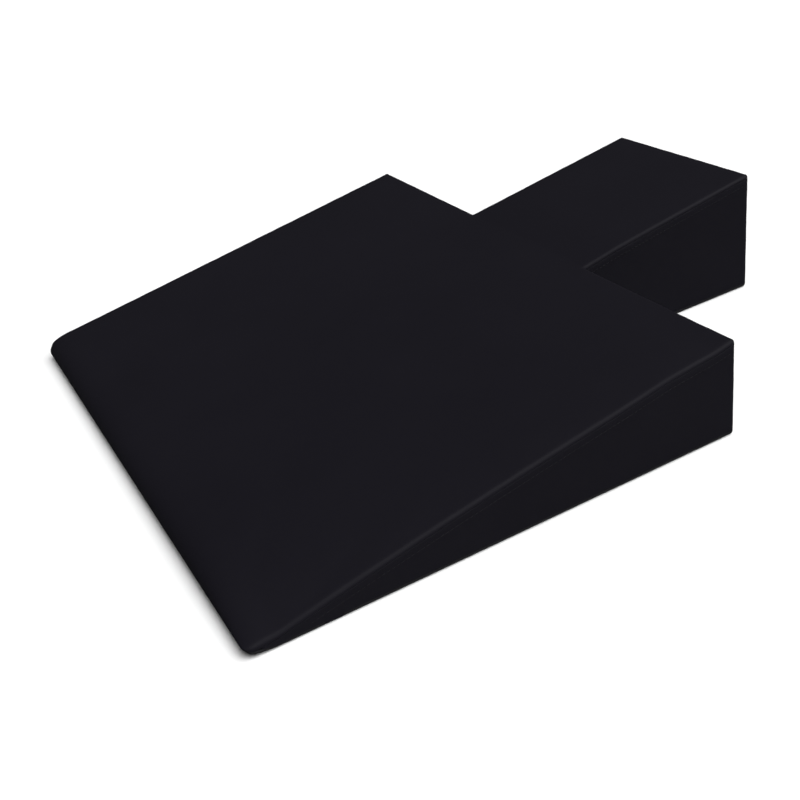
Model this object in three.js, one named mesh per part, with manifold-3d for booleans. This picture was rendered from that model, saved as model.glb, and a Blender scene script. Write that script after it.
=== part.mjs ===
// Padded T-shaped positioning wedge: foam in a sewn cover, closed by a zip across its base.
// Millimetres. +X runs from the thin toe to the neck, +Z is up. The origin is on the floor,
// under the middle of the footprint.

import * as THREE from 'three';
import { mergeVertices } from 'three/addons/utils/BufferGeometryUtils.js';
import Module from 'manifold-3d';

const wasm = await Module();
wasm.setup();

// --- Driving dimensions -------------------------------------------------------------------

// Outer shape. X is measured from the toe here, and the whole wedge is centred at the end.
const BODY_LENGTH = 450;
const BODY_WIDTH = 600;
const BACK_HEIGHT = 90;
const NECK_LENGTH = 205;
const NECK_WIDTH = 200;
const TOE_HEIGHT = 20.5; // where the sloped plane would meet the toe, without the rounding
const NOSE_HEIGHT = 9; // height of the toe's foremost line, where top and base are sewn
const NOSE_TOP_RUN = 28; // how far back the top starts to roll down to the toe
const NOSE_BASE_RUN = 35; // how far back the base lifts off the floor
const NOSE_STEPS = 8;

const FABRIC = 1.2; // thickness of the coated fabric
const GAP = 0.3; // kept between neighbouring pieces

// Zip: nylon coil, with its chain set up into the base so that nothing hangs below the floor.
const ZIP_X = 70;
const ZIP_SLOT = 15;
const ZIP_SLOT_LENGTH = 552;
const HEM_HEIGHT = 4.7;
const TAPE_THICKNESS = 0.6;
const TAPE_WIDTH = 15.1;
const TAPE_GAP = 1.8;
const TAPE_LENGTH = 592;
const COIL_WIDTH = 2.4;
const COIL_HEIGHT = 1.1;
const COIL_CENTRE = 2;
const COIL_LENGTH = 516;
const STOP_LENGTH = 4;
const STOP_GAP = 0.5;
const GROOVE_WIDTH = 34;
const GROOVE_DEPTH = 7.4;

// Slider and pull tab
const SLIDER_LENGTH = 12;
const SLIDER_MOUTH = 9.2;
const SLIDER_TAIL = 8.4;
const SLIDER_REST_Y = 252;
const PLATE_THICKNESS = 0.9;
const PLATE_CLEARANCE = 0.35;
const POST_WIDTH = 1;
const POST_LENGTH = 3;
const BRIDGE_WIDTH = 1.8;
const BRIDGE_LENGTH = 8.8;
const BRIDGE_THICKNESS = 0.8;
const BRIDGE_CLEARANCE = 0.225;
const TAB_THICKNESS = 0.9;
const TAB_LENGTH = 20;
const TAB_EYE_WIDTH = 6;
const TAB_END_WIDTH = 7.4;
const TAB_HOLE_WIDTH = 2.8;
const TAB_HOLE_LENGTH = 5.4;

// --- Worked out from them -----------------------------------------------------------------

const SLOPE = (BACK_HEIGHT - TOE_HEIGHT) / BODY_LENGTH;
const LENGTH = BODY_LENGTH + NECK_LENGTH;
const SKIN = FABRIC + GAP; // from the outer shape to what is under the fabric
const HALF_BODY = BODY_WIDTH / 2;
const HALF_NECK = NECK_WIDTH / 2;
const HALF_SLOT = ZIP_SLOT / 2;
const TAPE_Z = HEM_HEIGHT + GAP; // underside of the tapes
const COIL_Z = TAPE_Z - GAP - COIL_HEIGHT / 2;
const LOWER_PLATE_TOP = COIL_Z - COIL_HEIGHT / 2 - PLATE_CLEARANCE;
const LOWER_PLATE_Z = LOWER_PLATE_TOP - PLATE_THICKNESS;
const UPPER_PLATE_Z = TAPE_Z + TAPE_THICKNESS + PLATE_CLEARANCE;
const HINGE_Z = LOWER_PLATE_Z - BRIDGE_CLEARANCE - TAB_THICKNESS / 2;
const ABOVE_ALL = 200;
const BELOW_ALL = -10;

// --- Materials ----------------------------------------------------------------------------

function finish(color, roughness, metalness = 0) {
  return new THREE.MeshStandardMaterial({ color, roughness, metalness });
}

const coverFinish = () => finish(0x1a191e, 0.62);
const baseFinish = () => finish(0x161618, 0.85);
const foamFinish = () => finish(0x8d8f92, 0.95);
const tapeFinish = () => finish(0x131315, 0.9);
const coilFinish = () => finish(0x18181a, 0.5);
const metalFinish = () => finish(0x1d1d20, 0.35, 0.9);

// --- Solids -------------------------------------------------------------------------------

function toSolid(geometry) {
  const bare = geometry.clone();
  bare.deleteAttribute('normal');
  bare.deleteAttribute('uv');
  const merged = mergeVertices(bare, 1e-4);
  const vertProperties = Float32Array.from(merged.attributes.position.array);
  const triVerts = Uint32Array.from(merged.index.array);
  return new wasm.Manifold(new wasm.Mesh({ numProp: 3, vertProperties, triVerts }));
}

function toGeometry(solid) {
  const mesh = solid.getMesh();
  const geometry = new THREE.BufferGeometry();
  geometry.setAttribute('position', new THREE.BufferAttribute(mesh.vertProperties, 3));
  geometry.setIndex(new THREE.BufferAttribute(mesh.triVerts, 1));
  geometry.computeVertexNormals();
  return geometry;
}

function join(...geometries) {
  const solids = geometries.map(toSolid);
  return toGeometry(solids.reduce((whole, solid) => whole.add(solid)));
}

function cut(geometry, tool) {
  return toGeometry(toSolid(geometry).subtract(toSolid(tool)));
}

function overlapOf(geometry, other) {
  return toGeometry(toSolid(geometry).intersect(toSolid(other)));
}

function box(x, y, z) {
  const geometry = new THREE.BoxGeometry(x[1] - x[0], y[1] - y[0], z[1] - z[0]);
  return geometry.translate((x[0] + x[1]) / 2, (y[0] + y[1]) / 2, (z[0] + z[1]) / 2);
}

// An outline in X and Z, carried along Y.
function prismAlongY(outline, y) {
  const settings = { depth: y[1] - y[0], bevelEnabled: false, curveSegments: NOSE_STEPS };
  const geometry = new THREE.ExtrudeGeometry(outline, settings);
  return geometry.rotateX(Math.PI / 2).translate(0, y[1], 0);
}

// An outline in X and Y, carried up Z.
function prismAlongZ(outline, z) {
  const settings = { depth: z[1] - z[0], bevelEnabled: false, curveSegments: NOSE_STEPS };
  return new THREE.ExtrudeGeometry(outline, settings).translate(0, 0, z[0]);
}

function polygon(points) {
  return new THREE.Shape(points.map(([u, v]) => new THREE.Vector2(u, v)));
}

function named(name, geometry, material) {
  const mesh = new THREE.Mesh(geometry, material);
  mesh.name = name;
  return mesh;
}

// The two sides of the wedge, with the sign of their Y.
const SIDES = [
  ['right', -1],
  ['left', 1],
];

// A span of Y given for the left side, turned to the right side where sign is -1.
function spanOn(sign, inner, outer) {
  return sign > 0 ? [inner, outer] : [-outer, -inner];
}

// --- Outer shape --------------------------------------------------------------------------

// Height of the sloped top at x, moved inwards by inset.
function topAt(x, inset = 0) {
  return TOE_HEIGHT + SLOPE * x - inset * Math.hypot(1, SLOPE);
}

// Side view of the body, moved inwards by inset all round except at backX.
function bodyOutline(inset, backX) {
  const shape = new THREE.Shape();
  shape.moveTo(NOSE_BASE_RUN, inset);
  shape.lineTo(backX, inset);
  shape.lineTo(backX, topAt(backX, inset));
  shape.lineTo(NOSE_TOP_RUN, topAt(NOSE_TOP_RUN, inset));
  shape.quadraticCurveTo(inset, topAt(inset, inset), inset, NOSE_HEIGHT);
  shape.quadraticCurveTo(inset, inset, NOSE_BASE_RUN, inset);
  return shape;
}

// Side view of a stretch behind the nose, between base and top, moved inwards by inset.
function slopedOutline(x, inset) {
  return polygon([
    [x[0], inset],
    [x[1], inset],
    [x[1], topAt(x[1], inset)],
    [x[0], topAt(x[0], inset)],
  ]);
}

// Plan of the wedge from frontX back.
function planOutline(frontX) {
  return polygon([
    [frontX, -HALF_BODY],
    [BODY_LENGTH, -HALF_BODY],
    [BODY_LENGTH, -HALF_NECK],
    [LENGTH, -HALF_NECK],
    [LENGTH, HALF_NECK],
    [BODY_LENGTH, HALF_NECK],
    [BODY_LENGTH, HALF_BODY],
    [frontX, HALF_BODY],
  ]);
}

// --- Foam ---------------------------------------------------------------------------------

// The groove stands for foam that the zip presses up.
function foamBody() {
  const inside = HALF_BODY - SKIN;
  const wedge = prismAlongY(bodyOutline(SKIN, BODY_LENGTH - SKIN), [-inside, inside]);
  const grooveX = [ZIP_X - GROOVE_WIDTH / 2, ZIP_X + GROOVE_WIDTH / 2];
  const groove = box(grooveX, [-HALF_BODY, HALF_BODY], [BELOW_ALL, GROOVE_DEPTH]);
  return cut(wedge, groove);
}

function foamNeck() {
  const inside = HALF_NECK - SKIN;
  const x = [BODY_LENGTH - FABRIC, LENGTH - SKIN];
  return prismAlongY(slopedOutline(x, SKIN), [-inside, inside]);
}

// --- Cover --------------------------------------------------------------------------------

// One T-shaped piece that rolls over the toe down to the seam at the foremost line.
function topPanel() {
  const seamZ = NOSE_HEIGHT + GAP / 2;
  const strip = new THREE.Shape();
  strip.moveTo(LENGTH, topAt(LENGTH, FABRIC));
  strip.lineTo(LENGTH, topAt(LENGTH));
  strip.lineTo(NOSE_TOP_RUN, topAt(NOSE_TOP_RUN));
  strip.quadraticCurveTo(0, topAt(0), 0, seamZ);
  strip.lineTo(FABRIC, seamZ);
  strip.quadraticCurveTo(
    FABRIC,
    topAt(FABRIC, FABRIC),
    NOSE_TOP_RUN,
    topAt(NOSE_TOP_RUN, FABRIC),
  );
  const sheet = prismAlongY(strip, [-HALF_BODY, HALF_BODY]);
  return overlapOf(sheet, prismAlongZ(planOutline(BELOW_ALL), [BELOW_ALL, ABOVE_ALL]));
}

function sidePanel(sign) {
  const y = spanOn(sign, HALF_BODY - FABRIC, HALF_BODY);
  return prismAlongY(bodyOutline(SKIN, BODY_LENGTH), y);
}

// The back of the body on one side of the neck.
function shoulderPanel(sign) {
  const y = spanOn(sign, HALF_NECK + GAP, HALF_BODY - SKIN);
  return prismAlongY(slopedOutline([BODY_LENGTH - FABRIC, BODY_LENGTH], SKIN), y);
}

function neckSidePanel(sign) {
  const y = spanOn(sign, HALF_NECK - FABRIC, HALF_NECK);
  return prismAlongY(slopedOutline([BODY_LENGTH - FABRIC, LENGTH], SKIN), y);
}

function neckEndPanel() {
  const inside = HALF_NECK - SKIN;
  return prismAlongY(slopedOutline([LENGTH - FABRIC, LENGTH], SKIN), [-inside, inside]);
}

// The turned-up hem along one edge of the zip's slot, in front (-1) or behind (1).
function slotHem(sign) {
  const inside = HALF_BODY - SKIN;
  const near = ZIP_X + sign * HALF_SLOT;
  const far = near + sign * FABRIC;
  return box([Math.min(near, far), Math.max(near, far)], [-inside, inside], [0, HEM_HEIGHT]);
}

// From the toe seam under the nose to the zip.
function basePanelFront() {
  const seamZ = NOSE_HEIGHT - GAP / 2;
  const edgeX = ZIP_X - HALF_SLOT;
  const strip = new THREE.Shape();
  strip.moveTo(NOSE_BASE_RUN, 0);
  strip.lineTo(edgeX, 0);
  strip.lineTo(edgeX, FABRIC);
  strip.lineTo(NOSE_BASE_RUN, FABRIC);
  strip.quadraticCurveTo(FABRIC, FABRIC, FABRIC, seamZ);
  strip.lineTo(0, seamZ);
  strip.quadraticCurveTo(0, 0, NOSE_BASE_RUN, 0);
  return join(prismAlongY(strip, [-HALF_BODY, HALF_BODY]), slotHem(-1));
}

function basePanelRear() {
  return join(prismAlongZ(planOutline(ZIP_X + HALF_SLOT), [0, FABRIC]), slotHem(1));
}

// --- Zip ----------------------------------------------------------------------------------

function zipTape(sign) {
  const near = ZIP_X + (sign * TAPE_GAP) / 2;
  const far = near + sign * TAPE_WIDTH;
  const x = [Math.min(near, far), Math.max(near, far)];
  return box(x, [-TAPE_LENGTH / 2, TAPE_LENGTH / 2], [TAPE_Z, TAPE_Z + TAPE_THICKNESS]);
}

// One row of the coil, as the bar that its turns fill.
function zipCoil(sign) {
  const section = new THREE.Shape();
  const x = ZIP_X + sign * COIL_CENTRE;
  section.absellipse(x, COIL_Z, COIL_WIDTH / 2, COIL_HEIGHT / 2, 0, 2 * Math.PI);
  return prismAlongY(section, [-COIL_LENGTH / 2, COIL_LENGTH / 2]);
}

function stopBlock(x, sign) {
  const near = COIL_LENGTH / 2 + STOP_GAP;
  const z = [LOWER_PLATE_TOP + PLATE_CLEARANCE - GAP / 2, HEM_HEIGHT];
  return box(x, spanOn(sign, near, near + STOP_LENGTH), z);
}

// A crimped metal stop at the closed end of one row.
function zipTopStop(sign) {
  const near = TAPE_GAP / 2;
  const far = COIL_CENTRE + COIL_WIDTH;
  const x = sign > 0 ? [ZIP_X + near, ZIP_X + far] : [ZIP_X - far, ZIP_X - near];
  return stopBlock(x, 1);
}

// The one stop that holds both rows together at the other end.
function zipBottomStop() {
  const reach = COIL_CENTRE + COIL_WIDTH;
  return stopBlock([ZIP_X - reach, ZIP_X + reach], -1);
}

// Fabric that closes the slot between the end of the zip and the side panel.
function zipEndPatch(sign) {
  const x = [ZIP_X - HALF_SLOT + GAP, ZIP_X + HALF_SLOT - GAP];
  return box(x, spanOn(sign, ZIP_SLOT_LENGTH / 2, HALF_BODY), [0, FABRIC]);
}

// The slider and its tab are drawn about the point above which they rest on the zip, with the
// slider's mouth towards +Y.
function sliderPlate(z) {
  const half = SLIDER_LENGTH / 2;
  const mouth = SLIDER_MOUTH / 2;
  const tail = SLIDER_TAIL / 2;
  const corner = 1.5;
  const plan = new THREE.Shape();
  plan.moveTo(-tail + corner, -half);
  plan.lineTo(tail - corner, -half);
  plan.quadraticCurveTo(tail, -half, tail, -half + corner);
  plan.lineTo(mouth, half - corner);
  plan.quadraticCurveTo(mouth, half, mouth - corner, half);
  plan.lineTo(-mouth + corner, half);
  plan.quadraticCurveTo(-mouth, half, -mouth, half - corner);
  plan.lineTo(-tail, -half + corner);
  plan.quadraticCurveTo(-tail, -half, -tail + corner, -half);
  return prismAlongZ(plan, [z, z + PLATE_THICKNESS]);
}

// The strap under the slider that the tab swings on.
function sliderBridge() {
  const half = BRIDGE_LENGTH / 2;
  const innerHalf = half - BRIDGE_THICKNESS;
  const top = LOWER_PLATE_Z + PLATE_THICKNESS / 2;
  const inner = HINGE_Z - TAB_THICKNESS / 2 - BRIDGE_CLEARANCE;
  const outer = inner - BRIDGE_THICKNESS;
  const strap = new THREE.Shape();
  strap.moveTo(-half, top);
  strap.quadraticCurveTo(-half, outer, -innerHalf + BRIDGE_THICKNESS, outer);
  strap.lineTo(innerHalf - BRIDGE_THICKNESS, outer);
  strap.quadraticCurveTo(half, outer, half, top);
  strap.lineTo(innerHalf, top);
  strap.quadraticCurveTo(innerHalf, inner, innerHalf - BRIDGE_THICKNESS, inner);
  strap.lineTo(-innerHalf + BRIDGE_THICKNESS, inner);
  strap.quadraticCurveTo(-innerHalf, inner, -innerHalf, top);
  return prismAlongY(strap, [-BRIDGE_WIDTH / 2, BRIDGE_WIDTH / 2]).rotateZ(Math.PI / 2);
}

// Two plates, the post that parts the rows between them, and a lip each side of the coil.
function zipSlider() {
  const half = SLIDER_LENGTH / 2;
  const lipInner = COIL_CENTRE + COIL_WIDTH / 2 + PLATE_CLEARANCE;
  const lipZ = [LOWER_PLATE_Z + PLATE_THICKNESS / 2, TAPE_Z - PLATE_CLEARANCE];
  const lips = SIDES.map(([, sign]) => {
    const x = spanOn(sign, lipInner, SLIDER_TAIL / 2);
    return box(x, [-half + PLATE_THICKNESS * 2, half - PLATE_THICKNESS * 2], lipZ);
  });
  const postY = [half - PLATE_THICKNESS - POST_LENGTH, half - PLATE_THICKNESS];
  const postZ = [LOWER_PLATE_Z + PLATE_THICKNESS / 2, UPPER_PLATE_Z + PLATE_THICKNESS / 2];
  const post = box([-POST_WIDTH / 2, POST_WIDTH / 2], postY, postZ);
  const plates = [sliderPlate(LOWER_PLATE_Z), sliderPlate(UPPER_PLATE_Z)];
  return join(...plates, post, ...lips, sliderBridge());
}

// A flat tab with an eye, whose end bar is round and turns inside the bridge.
function zipPullTab() {
  const eye = TAB_EYE_WIDTH / 2;
  const end = TAB_END_WIDTH / 2;
  const hole = TAB_HOLE_WIDTH / 2;
  const plan = new THREE.Shape();
  plan.moveTo(-eye, 0);
  plan.lineTo(-end, -TAB_LENGTH + end);
  plan.quadraticCurveTo(-end, -TAB_LENGTH, 0, -TAB_LENGTH);
  plan.quadraticCurveTo(end, -TAB_LENGTH, end, -TAB_LENGTH + end);
  plan.lineTo(eye, 0);
  const eyeHole = polygon([
    [-hole, -TAB_THICKNESS / 4],
    [-hole, -TAB_HOLE_LENGTH],
    [hole, -TAB_HOLE_LENGTH],
    [hole, -TAB_THICKNESS / 4],
  ]);
  plan.holes.push(eyeHole);
  const plate = prismAlongZ(plan, [HINGE_Z - TAB_THICKNESS / 2, HINGE_Z + TAB_THICKNESS / 2]);
  const bar = new THREE.CylinderGeometry(TAB_THICKNESS / 2, TAB_THICKNESS / 2, TAB_EYE_WIDTH, 16);
  return join(plate, bar.rotateZ(Math.PI / 2).translate(0, 0, HINGE_Z));
}

// --- The whole wedge ----------------------------------------------------------------------

const wedge = new THREE.Group();
wedge.position.set(-LENGTH / 2, 0, 0);

wedge.add(named('foam_body', foamBody(), foamFinish()));
wedge.add(named('foam_neck', foamNeck(), foamFinish()));
wedge.add(named('top_panel', topPanel(), coverFinish()));
for (const [side, sign] of SIDES) {
  wedge.add(named(`side_panel_${side}`, sidePanel(sign), coverFinish()));
  wedge.add(named(`shoulder_panel_${side}`, shoulderPanel(sign), coverFinish()));
  wedge.add(named(`neck_side_panel_${side}`, neckSidePanel(sign), coverFinish()));
  wedge.add(named(`zip_end_patch_${side}`, zipEndPatch(sign), coverFinish()));
}
wedge.add(named('neck_end_panel', neckEndPanel(), coverFinish()));
wedge.add(named('base_panel_front', basePanelFront(), baseFinish()));
wedge.add(named('base_panel_rear', basePanelRear(), baseFinish()));
for (const [place, sign] of [
  ['front', -1],
  ['rear', 1],
]) {
  wedge.add(named(`zip_tape_${place}`, zipTape(sign), tapeFinish()));
  wedge.add(named(`zip_coil_${place}`, zipCoil(sign), coilFinish()));
  wedge.add(named(`zip_top_stop_${place}`, zipTopStop(sign), metalFinish()));
}
wedge.add(named('zip_bottom_stop', zipBottomStop(), metalFinish()));

const pull = new THREE.Group();
pull.position.set(ZIP_X, SLIDER_REST_Y, 0);
pull.add(named('zip_slider', zipSlider(), metalFinish()));
pull.add(named('zip_pull_tab', zipPullTab(), metalFinish()));
wedge.add(pull);

export default wedge;
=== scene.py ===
"""Looks for a padded T-shaped positioning wedge: a sewn cover of matte coated fabric over foam, a
non-slip base and a coil zip. Metres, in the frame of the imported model: +X from the toe to the neck."""

import math

import bmesh
import bpy
import numpy as np
from mathutils import Matrix, Vector, noise
from mathutils.bvhtree import BVHTree
from mathutils.kdtree import KDTree


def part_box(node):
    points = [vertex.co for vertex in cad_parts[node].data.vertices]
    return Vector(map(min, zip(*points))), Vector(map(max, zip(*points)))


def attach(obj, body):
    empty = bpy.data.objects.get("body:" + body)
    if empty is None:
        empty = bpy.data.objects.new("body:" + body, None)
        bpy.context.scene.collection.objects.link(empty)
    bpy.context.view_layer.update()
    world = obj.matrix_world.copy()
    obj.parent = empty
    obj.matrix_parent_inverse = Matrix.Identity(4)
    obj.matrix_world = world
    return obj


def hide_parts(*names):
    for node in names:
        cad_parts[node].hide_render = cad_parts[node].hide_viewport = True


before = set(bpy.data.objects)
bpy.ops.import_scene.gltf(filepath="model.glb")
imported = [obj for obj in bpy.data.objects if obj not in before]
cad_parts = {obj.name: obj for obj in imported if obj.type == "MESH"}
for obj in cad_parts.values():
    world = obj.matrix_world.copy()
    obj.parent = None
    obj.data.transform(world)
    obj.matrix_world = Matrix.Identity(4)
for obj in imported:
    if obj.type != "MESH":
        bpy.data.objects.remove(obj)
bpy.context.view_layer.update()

MM = 0.001
TINY = 1e-7
ROOT = "wedge"

# --- The outer shape, read from the frame ---

_low, _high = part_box("top_panel")
TOE_X = _low.x
LENGTH = _high.x - TOE_X
HALF_BODY = _high.y
END_HEIGHT = _high.z
_neck_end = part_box("neck_end_panel")[1]
_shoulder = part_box("shoulder_panel_left")[1]
_neck_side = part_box("neck_side_panel_left")[1]
BODY_LENGTH = _shoulder.x - TOE_X
HALF_NECK = _neck_side.y
SLOPE = (_neck_end.z - _shoulder.z) / (_neck_end.x - _shoulder.x)
TOE_HEIGHT = END_HEIGHT - SLOPE * LENGTH
NOSE_HEIGHT = (_low.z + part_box("base_panel_front")[1].z) / 2
SLOT_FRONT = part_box("base_panel_front")[1].x - TOE_X
SLOT_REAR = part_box("base_panel_rear")[0].x - TOE_X
PATCH_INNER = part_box("zip_end_patch_left")[0].y
TAPE_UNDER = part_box("zip_tape_front")[0].z
NOSE_TOP_RUN = 28 * MM  # the top rolls down to the toe over this length
NOSE_BASE_RUN = 35 * MM  # and the base lifts off the floor over this one

FABRIC = 1.2 * MM
EDGE_RADIUS = 3.6 * MM  # of the rounded edges of the filled cover
BASE_RADIUS = 3.0 * MM
TOP_ROLL_SHARE = 0.36  # of a wall's height, where it is too low for the full radius
BASE_ROLL_SHARE = 0.22
SEAM_BELOW_ROLL = 0.5 * MM  # the top panel's seams lie this far below the rounded edge
BASE_SEAM_RISE = 3.6 * MM
TOP_SEAM_SHARE = 0.4
BASE_SEAM_SHARE = 0.25
NOSE_STATIONS = 9
SIDE_PANEL_START = NOSE_TOP_RUN * (5 / (NOSE_STATIONS - 1)) ** 2  # the side panels start in a point
SIDE_PANEL_RUN = 10 * MM  # and have their full height so far behind that
MEETING_SHARE = 0.45  # height at which the top and the base meet in front of them
TOE_CORNER = 8 * MM  # radius of the toe's corners, seen from above

# The near side's upper edge hangs below the plane of the top, as in the photograph: far at the
# toe, and then less and less. Further back it wanders a little.
SAG_AT_TOE = 15 * MM
SAG_RUN = 150 * MM
SAG_RISE = 0.0044  # rise over run that the edge gains on the plane further back
SAG_WIDTH = 120 * MM  # how far in from the edge it is felt
SAG_POWER = 1.5
SAG_MOST = 0.8  # of the height over the toe's line
SAG_END = 30 * MM  # behind the body's back it fades out over this length
SAG_WAVES = ((378 * MM, 22 * MM, -1.0 * MM), (430 * MM, 18 * MM, 1.2 * MM))  # place, width, height
NECK_RISE = 2 * MM  # the neck's top tilts up this far over the plane at its near edge
NECK_RISE_RUN = 40 * MM  # starting at the body's back, over this length
BASE_LIFT = 0.35 * MM  # the base's grip dots reach from here down to the floor

BASE_PANELS = ("base_panel_front", "base_panel_rear")
PATCHES = ("zip_end_patch_right", "zip_end_patch_left")
PAIRED = ("side_panel", "shoulder_panel", "neck_side_panel")
SIDE_PANELS = tuple(f"{kind}_{side}" for kind in PAIRED for side in ("right", "left"))
PANELS = ("top_panel", *SIDE_PANELS, "neck_end_panel", *BASE_PANELS, *PATCHES)
OPEN_SLOT = "open_slot"


def plane(x):
    """Height of the sloped top's plane at x behind the toe."""
    return TOE_HEIGHT + SLOPE * x


def roof(x):
    """Height of the top at x behind the toe, rolled down to the toe's foremost line."""
    t = np.sqrt(np.clip(x / NOSE_TOP_RUN, 0, 1))
    rolled = (1 - t) ** 2 * NOSE_HEIGHT + 2 * t * (1 - t) * TOE_HEIGHT + t * t * plane(NOSE_TOP_RUN)
    return np.where(x < NOSE_TOP_RUN, rolled, plane(x))


def keel(x):
    """Height of the base at x behind the toe."""
    t = np.sqrt(np.clip(x / NOSE_BASE_RUN, 0, 1))
    return NOSE_HEIGHT * (1 - t) ** 2


def sag(x, y):
    """How far the top hangs below its plane at x behind the toe. It is negative where the top
    stands over it."""
    edge = SAG_AT_TOE * np.exp(-x / SAG_RUN) - SAG_RISE * x
    for place, width, height in SAG_WAVES:
        edge = edge + height * np.exp(-(((x - place) / width) ** 2))
    edge = np.minimum(edge, SAG_MOST * np.maximum(roof(x) - NOSE_HEIGHT, 0))
    past_body = np.clip((BODY_LENGTH + SAG_END - x) / SAG_END, 0, 1)
    near = np.clip(1 - (y + HALF_BODY) / SAG_WIDTH, 0, 1)
    rise = NECK_RISE * np.clip((x - BODY_LENGTH) / NECK_RISE_RUN, 0, 1)
    rise = rise * np.clip((HALF_NECK - y) / (2 * HALF_NECK), 0, 1)
    return edge * past_body * near**SAG_POWER - rise


def top_height(x, y):
    return roof(x) - sag(x, y)


# --- Small mesh helpers ---


def object_from(name, points, faces, crease=None):
    """A smooth-shaded object. Edges sharper than crease, where it is given, stay sharp."""
    mesh = bpy.data.meshes.new(name)
    mesh.from_pydata([tuple(p) for p in points], [], faces)
    mesh.update()
    mesh.polygons.foreach_set("use_smooth", [True] * len(mesh.polygons))
    if crease is not None:
        mesh.set_sharp_from_angle(angle=crease)
    piece = bpy.data.objects.new(name, mesh)
    bpy.context.scene.collection.objects.link(piece)
    return piece


def coordinates(mesh):
    points = np.empty(len(mesh.vertices) * 3)
    mesh.vertices.foreach_get("co", points)
    return points.reshape(-1, 3)


def move_to(mesh, points):
    mesh.vertices.foreach_set("co", points.ravel())
    mesh.update()


def bake_modifiers(piece):
    """Replaces the piece's mesh with what its modifiers make of it."""
    graph = bpy.context.evaluated_depsgraph_get()
    mesh = bpy.data.meshes.new_from_object(piece.evaluated_get(graph), depsgraph=graph)
    old = piece.data
    piece.modifiers.clear()
    piece.data = mesh
    mesh.name = piece.name
    bpy.data.meshes.remove(old)
    return piece


def stations(*stops):
    """Values from the first stop to the last. Each stop is (value, spacing up to the next)."""
    values = []
    for (start, step), (end, _) in zip(stops, stops[1:]):
        count = max(1, round((end - start) / step))
        values += list(np.linspace(start, end, count + 1)[:-1])
    return np.array(values + [stops[-1][0]])


def side_name(kind, y):
    return f"{kind}_{'left' if y > 0 else 'right'}"


# --- The cover's cage: a closed quad mesh on the outer shape ---

CAGE_STEP = 9 * MM
FRONT_STEP = 7 * MM  # between the nose and the zip's slot
SLOT_STEP = 7.5 * MM
FINE_OFFSETS = np.array([0, 0.9, 1.8, 2.8, 4.2, 6.5, 10, 15]) * MM  # rows beside an edge
SIDE_OFFSETS = np.array([0, 1, 2, 3.2, 5, 7.5, 11, 15.5, 21]) * MM  # and beside the body's sides
WALL_BASE_ROWS = (0, 0.3, 0.58, 1)  # shares of the strip under the base seam
WALL_PANEL_ROWS = (0, 0.1, 0.2, 0.34, 0.5, 0.66, 0.8, 0.9, 1)  # of a wall panel
WALL_TOP_ROWS = (0, 0.37, 0.58, 0.76, 0.9, 1)  # of the strip over the top seam


def grid_x():
    """Stations behind the toe, fine where the surface turns, and the index of the body's back."""
    nose = NOSE_TOP_RUN * np.linspace(0, 1, NOSE_STATIONS)[:-1] ** 2
    body = stations(
        (NOSE_TOP_RUN, FRONT_STEP),
        (SLOT_FRONT, SLOT_STEP),
        (SLOT_REAR, CAGE_STEP),
        (BODY_LENGTH - FINE_OFFSETS[-1], 1),
        (BODY_LENGTH, 1),
    )[:-2]
    before = BODY_LENGTH - FINE_OFFSETS[::-1]
    after = BODY_LENGTH + FINE_OFFSETS[1:]
    neck = stations((after[-1], CAGE_STEP), (LENGTH - FINE_OFFSETS[-1], 1))[1:-1]
    last = LENGTH - FINE_OFFSETS[::-1]
    back = len(nose) + len(body) + len(before) - 1
    return np.concatenate([nose, body, before, after, neck, last]), back


def grid_y():
    """Stations across, and the indices of the neck's two sides."""
    edge = HALF_BODY - SIDE_OFFSETS
    inner = HALF_NECK + FINE_OFFSETS
    between = stations((inner[-1], CAGE_STEP), (edge[-1], 1))[1:-1]
    middle = stations((0, CAGE_STEP), (HALF_NECK - FINE_OFFSETS[-1], 1))[:-1]
    right = np.concatenate([middle, (HALF_NECK - FINE_OFFSETS)[:0:-1], inner, between, edge[::-1]])
    patch = np.argmin(abs(right - PATCH_INNER))
    right[patch] = PATCH_INNER
    values = np.concatenate([-right[:0:-1], right])
    neck = np.argmin(abs(right - HALF_NECK))
    middle_index = len(right) - 1
    return values, middle_index - neck, middle_index + neck


def seam_heights(x, y):
    """Heights of the seams that bound the wall at (x, y): at the base, and under the top."""
    low, high = float(keel(x)), float(top_height(x, y))
    base_seam = low + min(BASE_SEAM_RISE, BASE_SEAM_SHARE * (high - low))
    top_seam = high - min(EDGE_RADIUS + SEAM_BELOW_ROLL, TOP_SEAM_SHARE * (high - low))
    meeting = low + MEETING_SHARE * (high - low)
    apart = min(max((x - SIDE_PANEL_START) / SIDE_PANEL_RUN, 0), 1)
    return meeting + (base_seam - meeting) * apart, meeting + (top_seam - meeting) * apart


def wall_heights(x, y):
    """Heights of the wall's rows at (x, y), from the base's edge to the top's."""
    low, high = float(keel(x)), float(top_height(x, y))
    base_seam, top_seam = seam_heights(x, y)
    rows = [low + (base_seam - low) * s for s in WALL_BASE_ROWS]
    rows += [base_seam + (top_seam - base_seam) * s for s in WALL_PANEL_ROWS[1:]]
    rows += [top_seam + (high - top_seam) * s for s in WALL_TOP_ROWS[1:]]
    return rows


def base_panel_at(x, y):
    if x < SLOT_FRONT:
        return "base_panel_front"
    if x > SLOT_REAR:
        return "base_panel_rear"
    return side_name("zip_end_patch", y) if abs(y) > PATCH_INNER else OPEN_SLOT


def wall_panel_at(x, y):
    if x > LENGTH - TINY:
        return "neck_end_panel"
    if x > BODY_LENGTH + TINY:
        return side_name("neck_side_panel", y)
    if abs(y) < HALF_BODY - TINY:
        return side_name("shoulder_panel", y)
    return side_name("side_panel", y)


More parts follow.
